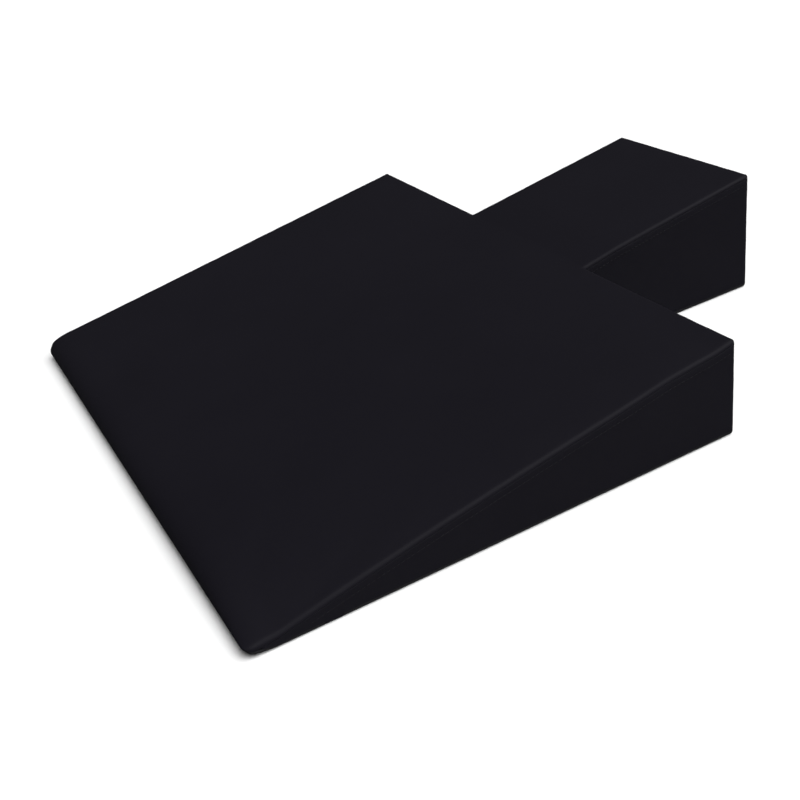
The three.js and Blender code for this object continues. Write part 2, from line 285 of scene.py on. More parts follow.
def cover_cage():
    """The points, faces and each face's panel. X is measured from the toe."""
    xs, back = grid_x()
    ys, neck_low, neck_high = grid_y()
    nx, ny = len(xs), len(ys)
    points, faces, panels = [], [], []

    def add_point(x, y, z):
        points.append((x, y, z))
        return len(points) - 1

    def add_face(corners, panel):
        ring = [c for k, c in enumerate(corners) if c != corners[k - 1]]
        if len(ring) > 2:
            faces.append(ring)
            panels.append(panel)

    def inside(i, j):
        return i <= back or neck_low <= j <= neck_high

    top = -np.ones((nx, ny), int)
    base = -np.ones((nx, ny), int)
    for i in range(nx):
        for j in range(ny):
            if inside(i, j):
                top[i, j] = add_point(xs[i], ys[j], float(top_height(xs[i], ys[j])))
                base[i, j] = top[i, j] if i == 0 else add_point(xs[i], ys[j], float(keel(xs[i])))
    for i in range(nx - 1):
        for j in range(ny - 1):
            if inside(i + 1, j) and inside(i + 1, j + 1):
                x, y = (xs[i] + xs[i + 1]) / 2, (ys[j] + ys[j + 1]) / 2
                corners = ((i, j), (i + 1, j), (i + 1, j + 1), (i, j + 1))
                add_face([top[c] for c in corners], "top_panel")
                add_face([base[c] for c in reversed(corners)], base_panel_at(x, y))

    rim = [(i, 0) for i in range(back + 1)]
    rim += [(back, j) for j in range(1, neck_low + 1)]
    rim += [(i, neck_low) for i in range(back + 1, nx)]
    rim += [(nx - 1, j) for j in range(neck_low + 1, neck_high + 1)]
    rim += [(i, neck_high) for i in range(nx - 2, back - 1, -1)]
    rim += [(back, j) for j in range(neck_high + 1, ny)]
    rim += [(i, ny - 1) for i in range(back - 1, -1, -1)]
    base_rows = len(WALL_BASE_ROWS) - 1
    panel_rows = base_rows + len(WALL_PANEL_ROWS) - 1
    columns = []
    for i, j in rim:
        heights = wall_heights(xs[i], ys[j])
        if i == 0:
            columns.append([top[i, j]] * len(heights))
            continue
        middle = [add_point(xs[i], ys[j], z) for z in heights[1:-1]]
        if heights[panel_rows] - heights[base_rows] < TINY:
            middle[base_rows:panel_rows] = [middle[base_rows - 1]] * (panel_rows - base_rows)
        columns.append([base[i, j], *middle, top[i, j]])
    for (a, b), one, two in zip(zip(rim, rim[1:]), columns, columns[1:]):
        x, y = (xs[a[0]] + xs[b[0]]) / 2, (ys[a[1]] + ys[b[1]]) / 2
        for k in range(len(one) - 1):
            if k < base_rows:
                panel = base_panel_at(x, math.copysign(HALF_BODY, y))
            elif k < panel_rows:
                panel = wall_panel_at(x, y)
            else:
                panel = "top_panel"
            add_face([one[k], two[k], two[k + 1], one[k + 1]], panel)
    return np.array(points), faces, panels


BODY_BLOCK = (HALF_BODY, 0, BODY_LENGTH)  # half width, first and last x
NECK_BLOCK = (HALF_NECK, BODY_LENGTH / 2, LENGTH)
SHARPEST = 0.2 * MM


def softened(points, blocks, inset=0.0):
    """The points moved in from the blocks' sharp edges to rounded ones. With an inset, the points
    are of a shape that lies so far inside."""
    x, y, z = points.T
    low, high = keel(x), top_height(x, y)
    r_top = np.minimum(EDGE_RADIUS, TOP_ROLL_SHARE * (high - low))
    r_base = np.minimum(BASE_RADIUS, BASE_ROLL_SHARE * (high - low))
    r_side = np.minimum(EDGE_RADIUS, (high - low) / 2)
    best = np.full(len(points), np.inf)
    result = points.copy()
    for half, first, last in blocks:
        core = np.stack(
            [
                np.clip(x, first, last - EDGE_RADIUS),
                np.clip(y, r_side - half, half - r_side),
                np.minimum(np.maximum(z, low + r_base), np.maximum(high - r_top, low + r_base)),
            ],
            axis=1,
        )
        over = points - core
        r_upright = np.where(over[:, 2] > 0, r_top, r_base)
        radii = np.stack([np.full_like(x, EDGE_RADIUS), r_side, r_upright], 1)
        reach = np.linalg.norm(over / np.maximum(radii - inset, SHARPEST), axis=1)
        moved = core + over / np.maximum(reach, 1)[:, None]
        nearer = reach < best - 1e-9
        result[nearer] = moved[nearer]
        best = np.minimum(best, reach)
    return result


def round_toe_corners(points):
    """The points with the toe's two corners drawn in to quarter circles, seen from above."""
    result = points.copy()
    ahead = TOE_CORNER - points[:, 0]
    aside = abs(points[:, 1]) - (HALF_BODY - TOE_CORNER)
    corner = (ahead > 0) & (aside > 0)
    share = np.maximum(ahead, aside)[corner] / np.hypot(ahead, aside)[corner]
    result[corner, 0] = TOE_CORNER - ahead[corner] * share
    drawn = HALF_BODY - TOE_CORNER + aside[corner] * share
    result[corner, 1] = np.sign(points[corner, 1]) * drawn
    return result


# --- Filling the cover: cloth simulation ---

FILL_PRESSURE = 4.0
FILL_FRAMES = 20
FILL_CAP = 1.5 * MM  # the foam holds the cover, so no point moves further than this
FILL_KNEE = 11 * MM  # how far the free cloth moves before the foam's hold is felt
FILL_TOE_RUN = 60 * MM  # the thin toe stays flat
FILL_CLOTH = {
    "quality": 6,
    "mass": 0.3,
    "tension_stiffness": 40,
    "compression_stiffness": 40,
    "shear_stiffness": 20,
    "bending_stiffness": 4,
    "tension_damping": 15,
    "compression_damping": 15,
    "air_damping": 4,
    "pin_stiffness": 1,
    "use_pressure": True,
    "uniform_pressure_force": FILL_PRESSURE,
}


def seam_vertices(faces, panels):
    """The vertices where two panels meet."""
    owner, seam = {}, set()
    for face, panel in zip(faces, panels):
        for v in face:
            if owner.setdefault(v, panel) != panel:
                seam.add(v)
    return seam


def filled(points, faces, panels):
    """The points after the cover has been pressed out between its seams by the foam."""
    shell = object_from("filling", points, faces)
    held = seam_vertices(faces, panels)
    held |= {
        v
        for face, panel in zip(faces, panels)
        if panel in (*BASE_PANELS, *PATCHES, OPEN_SLOT)
        for v in face
    }
    group = shell.vertex_groups.new(name="held")
    group.add([int(v) for v in sorted(held)], 1.0, "REPLACE")
    cloth = shell.modifiers.new("Cloth", "CLOTH")
    for key, value in FILL_CLOTH.items():
        setattr(cloth.settings, key, value)
    cloth.settings.vertex_group_mass = group.name
    cloth.settings.effector_weights.gravity = 0
    cloth.collision_settings.use_collision = False
    cloth.collision_settings.use_self_collision = False
    cloth.point_cache.frame_start = 1
    cloth.point_cache.frame_end = FILL_FRAMES
    scene = bpy.context.scene
    for number in range(1, FILL_FRAMES + 1):
        scene.frame_set(number)
    graph = bpy.context.evaluated_depsgraph_get()
    result = shell.evaluated_get(graph).to_mesh()
    moved = coordinates(result) - points
    shell.evaluated_get(graph).to_mesh_clear()
    scene.frame_set(1)
    bpy.data.objects.remove(shell)
    size = np.linalg.norm(moved, axis=1)
    share = FILL_CAP * np.tanh(size / FILL_KNEE) / np.maximum(size, 1e-9)
    share *= np.clip(points[:, 0] / FILL_TOE_RUN, 0, 1) ** 2
    return points + moved * share[:, None]


# --- Panels: sheets with rolled seams and real thickness ---

SEAM_GAP = 0.06 * MM  # half the gap between two panels
SEAM_ROLL = 0.55 * MM  # radius at which a panel turns in to its seam
ROLL_SHARE = 0.7  # of the distance to the next row of points, where that is less
SEAM_DEPTH = 2.0 * MM  # how deep the turned-in edge goes
ROLL_STEPS = 3
LEAST_MITRE = 0.4  # keeps the rim from shooting out at a sharp corner
HEM_REACH = 1.5 * MM  # the hems beside the zip's slot: how far from it,
HEM_HEIGHT = 1.5 * MM  # how low,
HEM_SIDE_CLEAR = 6 * MM  # and how far from the body's sides they are
HEM_CLEAR = 0.5 * MM  # under the tape
THICKNESS_GROUP = "thickness"
THINNEST_SHARE = 0.05  # of the fabric's thickness, where rows of points are close together
SHARE_PASSES = 4
SHARE_GROWTH = 1.3  # at most, from one rim vertex to the next
THIN_HEM = 0.05 * MM
PUCKER = 0.16 * MM
PUCKER_REACH = 11 * MM
PUCKER_CLEAR = 2 * MM  # the sheet stays in place at the seam itself
GATHER_WAVES = (  # radians per metre along x, y and z, share of the seed, offset and strength
    (231, 187, 140, 1.0, 0.0, 1.0),
    (149, -263, 205, 2.1, 1.3, 1.0),
    (83, 61, -97, 0.7, 0.0, 0.8),
)


def sheet_of(name, points, faces, panels):
    """One panel's outer sheet, subdivided once, in the row frame."""
    own = [f for f, p in zip(faces, panels) if p == name]
    used = sorted({v for f in own for v in f})
    index = {v: k for k, v in enumerate(used)}
    placed = points[used] + np.array([TOE_X, 0, 0])
    piece = object_from(name, placed, [[index[v] for v in f] for f in own])
    smooth = piece.modifiers.new("Smooth", "SUBSURF")
    smooth.levels = smooth.render_levels = 1
    smooth.boundary_smooth = "PRESERVE_CORNERS"
    return bake_modifiers(piece)


def gather(x, y, z, seed):
    """A smooth value from -1 to 1 that wanders along the seams."""
    total = 0
    for ax, ay, az, own, offset, strength in GATHER_WAVES:
        total = total + strength * np.sin(ax * x + ay * y + az * z + own * seed + offset)
    return total / sum(wave[-1] for wave in GATHER_WAVES)


def pucker(piece, seed):
    """Draws the sheet in and out a little beside its seams, where the stitches gather it."""
    mesh = piece.data
    points = coordinates(mesh)
    edges = bmesh.new()
    edges.from_mesh(mesh)
    rim = [e for e in edges.edges if e.is_boundary]
    line = np.array([(e.verts[0].co + e.verts[1].co) / 2 for e in rim])
    edges.free()
    tree = KDTree(len(line))
    for k, p in enumerate(line):
        tree.insert(p, k)
    tree.balance()
    away = np.array([tree.find(p)[2] for p in points])
    fade = np.exp(-((away / PUCKER_REACH) ** 2)) * (1 - np.exp(-((away / PUCKER_CLEAR) ** 2)))
    normals = np.empty(len(mesh.vertices) * 3)
    mesh.vertices.foreach_get("normal", normals)
    shift = PUCKER * fade * gather(*points.T, seed)
    moved = points + normals.reshape(-1, 3) * shift[:, None]
    move_to(mesh, moved)


def rim_frames(sheet):
    """For each rim vertex of a bmesh: the way across the seam, away from the panel, and its normal."""
    sheet.normal_update()
    across = {}
    for edge in sheet.edges:
        if not edge.is_boundary:
            continue
        face = edge.link_faces[0]
        along = (edge.verts[1].co - edge.verts[0].co).normalized()
        out = along.cross(face.normal).normalized()
        if out.dot((edge.verts[0].co + edge.verts[1].co) / 2 - face.calc_center_median()) < 0:
            out.negate()
        for v in edge.verts:
            across.setdefault(v, []).append(out)
    frames = {}
    for v, outs in across.items():
        total = sum(outs, Vector())
        sharpness = 1 + outs[0].dot(outs[-1]) if len(outs) > 1 else 1
        frames[v] = (total / max(sharpness, LEAST_MITRE), v.normal.copy())
    return frames


def hem_depth(p):
    """How deep an edge is turned in at p: as deep as the zip's tape beside its slot."""
    x = p.x - TOE_X
    beside = SLOT_FRONT - HEM_REACH < x < SLOT_REAR + HEM_REACH
    if beside and p.z < HEM_HEIGHT and abs(p.y) < HALF_BODY - HEM_SIDE_CLEAR:
        return TAPE_UNDER - HEM_CLEAR
    return SEAM_DEPTH


def roll_share(v):
    """How much of the full roll a rim vertex gets: less where the rows of points are close."""
    inward = [e.calc_length() for e in v.link_edges if not e.is_boundary]
    return min([1.0] + [ROLL_SHARE * length / SEAM_ROLL for length in inward])


def evened(share, rim_edges):
    """The shares, lowered where they would grow too fast from one rim vertex to the next."""
    for _ in range(SHARE_PASSES):
        for edge in rim_edges:
            for one, other in (edge.verts, reversed(edge.verts)):
                share[one] = min(share[one], SHARE_GROWTH * share[other])
    return share


def roll_edges(piece):
    """Turns the rim of the sheet in to its seams, round a small radius. Where that radius has to
    be smaller, the sheet is made thinner too."""
    group = piece.vertex_groups.new(name=THICKNESS_GROUP)
    sheet = bmesh.new()
    sheet.from_mesh(piece.data)
    weights = sheet.verts.layers.deform.verify()
    frames = rim_frames(sheet)
    rim_edges = [e for e in sheet.edges if e.is_boundary]
    depth = {v: hem_depth(v.co) for v in frames}
    seam = {v: v.co.copy() for v in frames}
    share = evened({v: roll_share(v) for v in frames}, rim_edges)
    for v in sheet.verts:
        v[weights][group.index] = share.get(v, 1.0)

    def at(v, angle, extra=0.0):
        out, normal = frames[v]
        roll = SEAM_ROLL * share[v]
        centre = seam[v] - out * (SEAM_GAP * share[v] + roll) - normal * roll
        turned = out * math.sin(angle) + normal * math.cos(angle)
        return centre + turned * roll - normal * extra

    rows = [k * math.pi / 2 / ROLL_STEPS for k in range(1, ROLL_STEPS + 1)]
    places = [(angle, 0.0) for angle in rows] + [(math.pi / 2, 1.0)]
    current = {v: v for v in frames}
    for v in frames:
        v.co = at(v, 0.0)
    order = []
    for edge in rim_edges:
        a, b = edge.verts
        ring = [loop.vert for loop in edge.link_faces[0].loops]
        forward = ring[(ring.index(a) + 1) % len(ring)] is b
        order.append((a, b) if forward else (b, a))
    for angle, deep in places:
        fresh = {}
        for v in frames:
            extra = deep * max((depth[v] - SEAM_ROLL) * share[v], THIN_HEM)
            fresh[v] = sheet.verts.new(at(v, angle, extra))
            fresh[v][weights][group.index] = share[v]
        for a, b in order:
            sheet.faces.new((current[b], current[a], fresh[a], fresh[b])).smooth = True
        current = fresh
    sheet.normal_update()
    sheet.to_mesh(piece.data)
    sheet.free()


def thicken(piece):
    solid = piece.modifiers.new("Thickness", "SOLIDIFY")
    solid.thickness = FABRIC
    solid.offset = -1
    solid.use_rim = True
    solid.use_even_offset = False
    solid.vertex_group = THICKNESS_GROUP
    solid.thickness_vertex_group = THINNEST_SHARE
    return bake_modifiers(piece)


def lift_base(points):
    """Raises the flat base clear of the floor by the height of its grip dots."""
    lifted = points.copy()
    lifted[:, 2] = np.maximum(points[:, 2], BASE_LIFT)
    return lifted


def make_cover():
    """All the panels of the cover, by name."""
    points, faces, panels = cover_cage()
    points = round_toe_corners(softened(points, (BODY_BLOCK, NECK_BLOCK)))
    points = filled(points, faces, panels)
    points = lift_base(points)
    made = {}
    for seed, name in enumerate(PANELS):
        piece = sheet_of(name + "_sewn", points, faces, [p + "_sewn" for p in panels])
        if name not in BASE_PANELS + PATCHES:
            pucker(piece, seed)
        made[name] = piece
    surfaces = {name: surface_tree(piece) for name, piece in made.items()}
    for name, piece in made.items():
        roll_edges(piece)
        thicken(piece)
        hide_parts(name)
        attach(piece, ROOT)
    return made, surfaces


def surface_tree(piece):
    mesh = piece.data
    corners = [v.co.copy() for v in mesh.vertices]
    return BVHTree.FromPolygons(corners, [tuple(p.vertices) for p in mesh.polygons])


# --- Solid pieces built as blocks of rows ---


BLOCK_CREASE = math.radians(50)


def block(name, counts, place):
    """A closed block of counts cells each way. place gives the point for shares from 0 to 1."""
    index, points, faces = {}, [], []

    def corner(*key):
        if key not in index:
            index[key] = len(points)
            points.append(place(*(k / c for k, c in zip(key, counts))))
        return index[key]

    for axis in range(3):
        one, two = (axis + 1) % 3, (axis + 2) % 3
        for level in (0, counts[axis]):
            for a in range(counts[one]):
                for b in range(counts[two]):
                    ring = []
                    for da, db in ((0, 0), (1, 0), (1, 1), (0, 1)):
                        key = [0, 0, 0]
                        key[axis], key[one], key[two] = level, a + da, b + db
                        ring.append(corner(*key))
                    faces.append(ring if level else ring[::-1])
    return object_from(name, points, faces, BLOCK_CREASE)


# --- Foam ---

FOAM_INSET = 3.0 * MM
FOAM_START = 4 * MM
FOAM_STEP = 8 * MM
FOAM_ROWS = 6
FOAM_WAVE = 0.35 * MM
FOAM_GRAIN = 90
FOAM_NOSE_STEP = 3 * MM  # the rows of points are closer together in the nose,
FOAM_FRONT_STEP = 6 * MM  # in front of the channel
FOAM_CHANNEL_STEP = 5 * MM  # and over it
GLUE_LINE = 0.15 * MM
GROOVE_MARGIN = 1 * MM  # beyond the tapes
GROOVE_ROOM = 2 * MM  # above the slider


def foam_block(name, whole, first, last, grooved):
    """A firm foam block just inside the cover, with a channel over the zip if it is grooved."""
    half = whole[0] - FOAM_INSET
    channel_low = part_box("zip_tape_front")[0].x - TOE_X - GROOVE_MARGIN
    channel_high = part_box("zip_tape_rear")[1].x - TOE_X + GROOVE_MARGIN
    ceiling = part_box("zip_slider")[1].z + GROOVE_ROOM
    if grooved:
        cuts = [(first, FOAM_NOSE_STEP), (NOSE_BASE_RUN, FOAM_FRONT_STEP), (channel_low - MM, 1)]
        cuts += [(channel_low, FOAM_CHANNEL_STEP), (channel_high, 1)]
        cuts += [(channel_high + MM, FOAM_STEP), (last, 1)]
        xs = stations(*cuts)
    else:
        xs = stations((first, FOAM_STEP), (last, 1))

    def place(u, v, w):
        x, y = xs[round(u * (len(xs) - 1))], (2 * v - 1) * half
        low = float(keel(x)) + FOAM_INSET
        if grooved and channel_low <= x <= channel_high:
            low = max(low, ceiling)
        high = max(float(top_height(x, y)) - FOAM_INSET, low + SHARPEST)
        return (x, y, low + (high - low) * w)

    counts = (len(xs) - 1, round(2 * half / FOAM_STEP), FOAM_ROWS)
    piece = block(name, counts, place)
    mesh = piece.data
    points = softened(coordinates(mesh), (whole,), FOAM_INSET)
    for k, p in enumerate(points):
        points[k] += np.array(noise.noise_vector(Vector(p) * FOAM_GRAIN)) * FOAM_WAVE
    points[:, 0] += TOE_X
    move_to(mesh, points)
    return piece


def make_foam(finish):
    joint = BODY_LENGTH - FOAM_INSET
    body = foam_block("body_foam", BODY_BLOCK, FOAM_START, joint - GLUE_LINE, True)
    neck_whole = (HALF_NECK, joint, LENGTH)
    neck_start = joint + GLUE_LINE + FOAM_WAVE
    neck = foam_block("neck_foam", neck_whole, neck_start, LENGTH - FOAM_INSET, False)
    for piece, node in ((body, "foam_body"), (neck, "foam_neck")):
        add_piece(piece, finish, node)


# --- Thread ---

STITCH_PITCH = 4.4 * MM
STITCH_LENGTH = 3.5 * MM
THREAD = 0.27 * MM  # half the thread's thickness
THREAD_SIDES = 6
STITCH_PROFILE = ((0, -0.9), (0.14, 0.25), (0.5, 0.55), (0.86, 0.25), (1, -0.9))  # share along, rise


def add_tube(points, faces, path, across, above, radius):
    """Adds a closed tube to the lists. across and above are its two directions at each point."""
    start = len(points)
    for centre, side, up in zip(path, across, above):
        for k in range(THREAD_SIDES):
            angle = 2 * math.pi * k / THREAD_SIDES
            points.append(centre + (side * math.cos(angle) + up * math.sin(angle)) * radius)
    for ring in range(len(path) - 1):
        row = start + ring * THREAD_SIDES
        for k in range(THREAD_SIDES):
            n = (k + 1) % THREAD_SIDES
            faces.append((row + k, row + n, row + THREAD_SIDES + n, row + THREAD_SIDES + k))
    faces.append(tuple(range(start, start + THREAD_SIDES))[::-1])
    end = start + (len(path) - 1) * THREAD_SIDES
    faces.append(tuple(range(end, end + THREAD_SIDES)))


def spaced(guide, pitch):
    """Points every pitch along the guide, a polyline in the row frame."""
    guide = np.array(guide)
    lengths = np.linalg.norm(np.diff(guide, axis=0), axis=1)
    along = np.concatenate([[0], np.cumsum(lengths)])
    count = int(along[-1] / pitch)
    places = (along[-1] - count * pitch) / 2 + pitch * np.arange(count + 1)
    return np.stack([np.interp(places, along, guide[:, k]) for k in range(3)], 1)


def stitch_row(name, guide, surface, finish, rise=1.0):
    """A row of lockstitches on the surface, along the guide."""
    points, faces = [], []
    spots = spaced(guide, STITCH_PITCH)
    for a, b in zip(spots, spots[1:]):
        a, b = Vector(a), Vector(b)
        hole, normal = surface.find_nearest(a.lerp(b, 0.5))[:2]
        along = b - a
        along = (along - normal * along.dot(normal)).normalized()
        side = normal.cross(along)
        path = []
        for share, height in STITCH_PROFILE:
            spot = hole + along * (share - 0.5) * STITCH_LENGTH
            path.append(surface.find_nearest(spot)[0] + normal * height * THREAD * rise)
        add_tube(points, faces, path, [side] * len(path), [normal] * len(path), THREAD)
    add_piece(object_from(name, points, faces), finish)


TOPSTITCH_BELOW = 6.0 * MM  # the row of stitches lies so far below the top seam
ROW_END = 5.0 * MM  # and stops short of the corners
ROW_START = 18 * MM  # on the side panels, behind the toe
ROW_ROOM = 2.5 * MM  # between the row and the base's seam
ROW_GUIDE = 8 * MM  # between the guide's points


def row_below_seam(xs, y):
    """The guide for a row below the top seam, where the wall is high enough for it."""
    guide = []
    for x in xs:
        base_seam, top_seam = seam_heights(x, y)
        if top_seam - TOPSTITCH_BELOW > base_seam + ROW_ROOM:
            guide.append((x + TOE_X, y, top_seam - TOPSTITCH_BELOW))
    return guide


def make_topstitching(surfaces, finish):
    """The rows below the seams of the top panel."""
    body_end, neck_end = BODY_LENGTH - ROW_END, LENGTH - ROW_END
    for side in (-1, 1):
        runs = (
            ("side_panel", ROW_START, body_end, side * HALF_BODY),
            ("neck_side_panel", BODY_LENGTH + ROW_END, neck_end, side * HALF_NECK),
        )
        for kind, start, end, y in runs:
            guide = row_below_seam(stations((start, ROW_GUIDE), (end, 1)), y)
            panel = side_name(kind, side)
            stitch_row(f"thread_{panel}", guide, surfaces[panel], finish)
        height = seam_heights(BODY_LENGTH, 0)[1] - TOPSTITCH_BELOW
        inner, outer = side * (HALF_NECK + ROW_END), side * (HALF_BODY - ROW_END)
        guide = [(BODY_LENGTH + TOE_X, y, height) for y in (inner, outer)]
        panel = side_name("shoulder_panel", side)
        stitch_row(f"thread_{panel}", guide, surfaces[panel], finish)
    height = seam_heights(LENGTH, 0)[1] - TOPSTITCH_BELOW
    guide = [(LENGTH + TOE_X, y, height) for y in (ROW_END - HALF_NECK, HALF_NECK - ROW_END)]
    stitch_row("thread_neck_end_panel", guide, surfaces["neck_end_panel"], finish)


SLOT_STITCH = 5.0 * MM  # from the slot's edge to the row that holds the tape
PATCH_STITCH = 3.0 * MM
SLOT_ROW_PAST = 6 * MM  # the rows run on so far past the slot's ends
FLAT_RISE = 0.4  # the stitches on the base lie flatter than the grip dots


def make_zip_stitching(surfaces, finish):
    """The rows that hold the zip's tapes and the end patches."""
    end = PATCH_INNER + SLOT_ROW_PAST
    rows = [
        ("base_panel_front", [(SLOT_FRONT - SLOT_STITCH, -end), (SLOT_FRONT - SLOT_STITCH, end)]),
        ("base_panel_rear", [(SLOT_REAR + SLOT_STITCH, -end), (SLOT_REAR + SLOT_STITCH, end)]),
    ]
    for side in (-1, 1):
        y = side * (PATCH_INNER + PATCH_STITCH)
        ends = [(SLOT_FRONT + PATCH_STITCH / 2, y), (SLOT_REAR - PATCH_STITCH / 2, y)]
        rows.append((side_name("zip_end_patch", side), ends))
    for panel, ends in rows:
        guide = [(x + TOE_X, y, BASE_LIFT) for x, y in ends]
        stitch_row(f"thread_{panel}", guide, surfaces[panel], finish, FLAT_RISE)


# --- Grip dots ---

DOT_PITCH = 8.0 * MM
DOT_SIDES = 8
DOT_RINGS = ((1.5 * MM, -0.12 * MM), (1.35 * MM, 0.2 * MM))  # radius, and height off the fabric
DOT_HEIGHT = 0.35 * MM
DOT_MARGIN = 9 * MM  # clear of the outline
DOT_TOE_MARGIN = 14 * MM
DOT_SLOT_MARGIN = 8 * MM


def has_dot(x, y):
    """Whether there is a dot at x behind the toe."""
    half = HALF_BODY if x < BODY_LENGTH - DOT_MARGIN else HALF_NECK
    if x < DOT_TOE_MARGIN or x > LENGTH - DOT_MARGIN or abs(y) > half - DOT_MARGIN:
        return False
    return not SLOT_FRONT - DOT_SLOT_MARGIN < x < SLOT_REAR + DOT_SLOT_MARGIN


def make_dots(surfaces, finish):
    """Domed dots of rubber all over the base, in staggered rows."""
    made = {name: ([], []) for name in BASE_PANELS}
    row_step = DOT_PITCH * math.sqrt(3) / 2
    for row in range(int(LENGTH / row_step)):
        x = (row + 0.5) * row_step
        columns = int(HALF_BODY / DOT_PITCH) + 1
        for column in range(-columns, columns + 1):
            y = (column + (0.5 if row % 2 else 0)) * DOT_PITCH
            if not has_dot(x, y):
                continue
            panel = base_panel_at(x, y)
            points, faces = made[panel]
            spot, normal = surfaces[panel].find_nearest(Vector((x + TOE_X, y, BASE_LIFT)))[:2]
            add_dot(points, faces, spot, normal)
    for name, (points, faces) in made.items():
        add_piece(object_from(f"dots_{name}", points, faces), finish)


def add_dot(points, faces, spot, normal):
    side = normal.orthogonal().normalized()
    other = normal.cross(side)
    start = len(points)
    for radius, height in DOT_RINGS:
        for k in range(DOT_SIDES):
            angle = 2 * math.pi * k / DOT_SIDES
            turned = side * math.cos(angle) + other * math.sin(angle)
            points.append(spot + turned * radius + normal * height)
    points.append(spot + normal * DOT_HEIGHT)
    faces.append(tuple(range(start, start + DOT_SIDES))[::-1])
    for k in range(DOT_SIDES):
        n = (k + 1) % DOT_SIDES
        faces.append((start + k, start + n, start + DOT_SIDES + n, start + DOT_SIDES + k))
        faces.append((start + DOT_SIDES + k, start + DOT_SIDES + n, start + 2 * DOT_SIDES))


# --- Zip ---

TAPE_STEP = 3 * MM
TAPE_CELLS = 14
TAPE_RIB = 0.07 * MM
TAPE_RIPPLE = 7  # cells along the tape to one shallow ripple
CORD_SHARE = 0.14  # of the tape's width, thicker along the coil
CORD_RISE = 0.12 * MM
COIL_PITCH = 1.5 * MM
COIL_THREAD = 0.3 * MM  # half the filament's thickness
COIL_POINTS = 14  # to a turn
COIL_SQUARENESS = 0.7
COIL_CLEAR = 0.62 * MM  # from the centreline, clear of the slider's post


def zip_tape(node, finish):
    """A woven tape: ribbed along its length, with a corded edge beside the coil."""
    low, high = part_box(node)
    coil_side = 1 if node.endswith("front") else 0
    cells_y = round((high.y - low.y) / TAPE_STEP)

    def place(u, v, w):
        near_coil = max(0, 1 - abs(u - coil_side) / CORD_SHARE)
        rib = TAPE_RIB * math.cos(math.pi * u * TAPE_CELLS)
        rib += 0.5 * TAPE_RIB * math.sin(2 * math.pi * v * cells_y / TAPE_RIPPLE)
        bulge = rib + CORD_RISE * math.sin(math.pi * min(near_coil, 1))
        z = low.z + (high.z - low.z) * w + (bulge if w > 0.5 else -rib)
        return (low.x + (high.x - low.x) * u, low.y + (high.y - low.y) * v, z)

    piece = block(f"woven_{node}", (2 * TAPE_CELLS, cells_y, 1), place)
    add_piece(piece, finish, node)


def squared(value):
    return math.copysign(abs(value) ** COIL_SQUARENESS, value)


def zip_coil(node, finish, phase):
    """One row of the zip: a filament wound to a flattened spiral under its tape."""
    low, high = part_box(node)
    centre_line = (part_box("zip_coil_front")[1].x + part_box("zip_coil_rear")[0].x) / 2
    head_side = 1 if high.x < centre_line else -1
    head = centre_line - head_side * (COIL_CLEAR + COIL_THREAD)
    back = (low.x if head_side > 0 else high.x) + head_side * COIL_THREAD
    middle_x, middle_z = (head + back) / 2, (low.z + high.z) / 2
    wide = abs(head - back) / 2
    tall = (high.z - low.z) / 2 - COIL_THREAD
    turns = int((high.y - low.y - COIL_PITCH) / COIL_PITCH)
    start = (low.y + high.y - turns * COIL_PITCH) / 2
    path, across, above = [], [], []
    for k in range(turns * COIL_POINTS + 1):
        angle = 2 * math.pi * (k / COIL_POINTS + phase)
        x = middle_x + wide * squared(math.cos(angle))
        z = middle_z + tall * squared(math.sin(angle))
        path.append(Vector((x, start + COIL_PITCH * k / COIL_POINTS, z)))
    for k in range(len(path)):
        ahead = (path[min(k + 1, len(path) - 1)] - path[max(k - 1, 0)]).normalized()
        side = ahead.cross(Vector((0, 1, 0))).normalized()
        across.append(side)
        above.append(side.cross(ahead))
    points, faces = [], []
    add_tube(points, faces, path, across, above, COIL_THREAD)
    piece = object_from(f"wound_{node}", points, faces)
    add_piece(piece, finish, node)


STOP_CELLS = (8, 12, 6)
STOP_ROUNDING = 0.45
STOP_CRIMP = 0.14
CRIMP_WIDTH = 0.25  # of half the stop's length


def zip_stop(node, finish):
    """A stop: a little metal staple pressed round the tape's edge, with a crimp across it."""
    low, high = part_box(node)
    middle = (low + high) / 2
    half = (high - low) / 2

    def place(u, v, w):
        p = Vector((2 * u - 1, 2 * v - 1, 2 * w - 1))
        core = Vector([max(-1 + STOP_ROUNDING, min(1 - STOP_ROUNDING, c)) for c in p])
        over = p - core
        if over.length > 0:
            p = core + over.normalized() * min(over.length, STOP_ROUNDING)
        waist = 1 - STOP_CRIMP * math.exp(-((p.y / CRIMP_WIDTH) ** 2))
        x, z = half.x * p.x * waist, half.z * p.z * waist
        return (middle.x + x, middle.y + half.y * p.y, middle.z + z)

    piece = block(f"crimped_{node}", STOP_CELLS, place)
    add_piece(piece, finish, node)


METAL_EDGE = 0.18 * MM  # radius of the rounded edges
METAL_CREASE = math.radians(25)


def polish(node, finish):
    """Rounds the edges of a metal CAD node and gives it its material."""
    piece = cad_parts[node]
    bevel = piece.modifiers.new("Edges", "BEVEL")
    bevel.width = METAL_EDGE
    bevel.segments = 2
    bevel.limit_method = "ANGLE"
    bevel.angle_limit = METAL_CREASE
    bevel.use_clamp_overlap = True
    piece.data.materials.clear()
    piece.data.materials.append(finish)


def make_zip(tape_finish, coil_finish, metal_finish):
    zip_tape("zip_tape_front", tape_finish)
    zip_tape("zip_tape_rear", tape_finish)
    zip_coil("zip_coil_front", coil_finish, 0.0)
    zip_coil("zip_coil_rear", coil_finish, 0.5)
    for node in ("zip_top_stop_front", "zip_top_stop_rear", "zip_bottom_stop"):
        zip_stop(node, metal_finish)
    polish("zip_slider", metal_finish)
    polish("zip_pull_tab", metal_finish)


# --- Materials ---


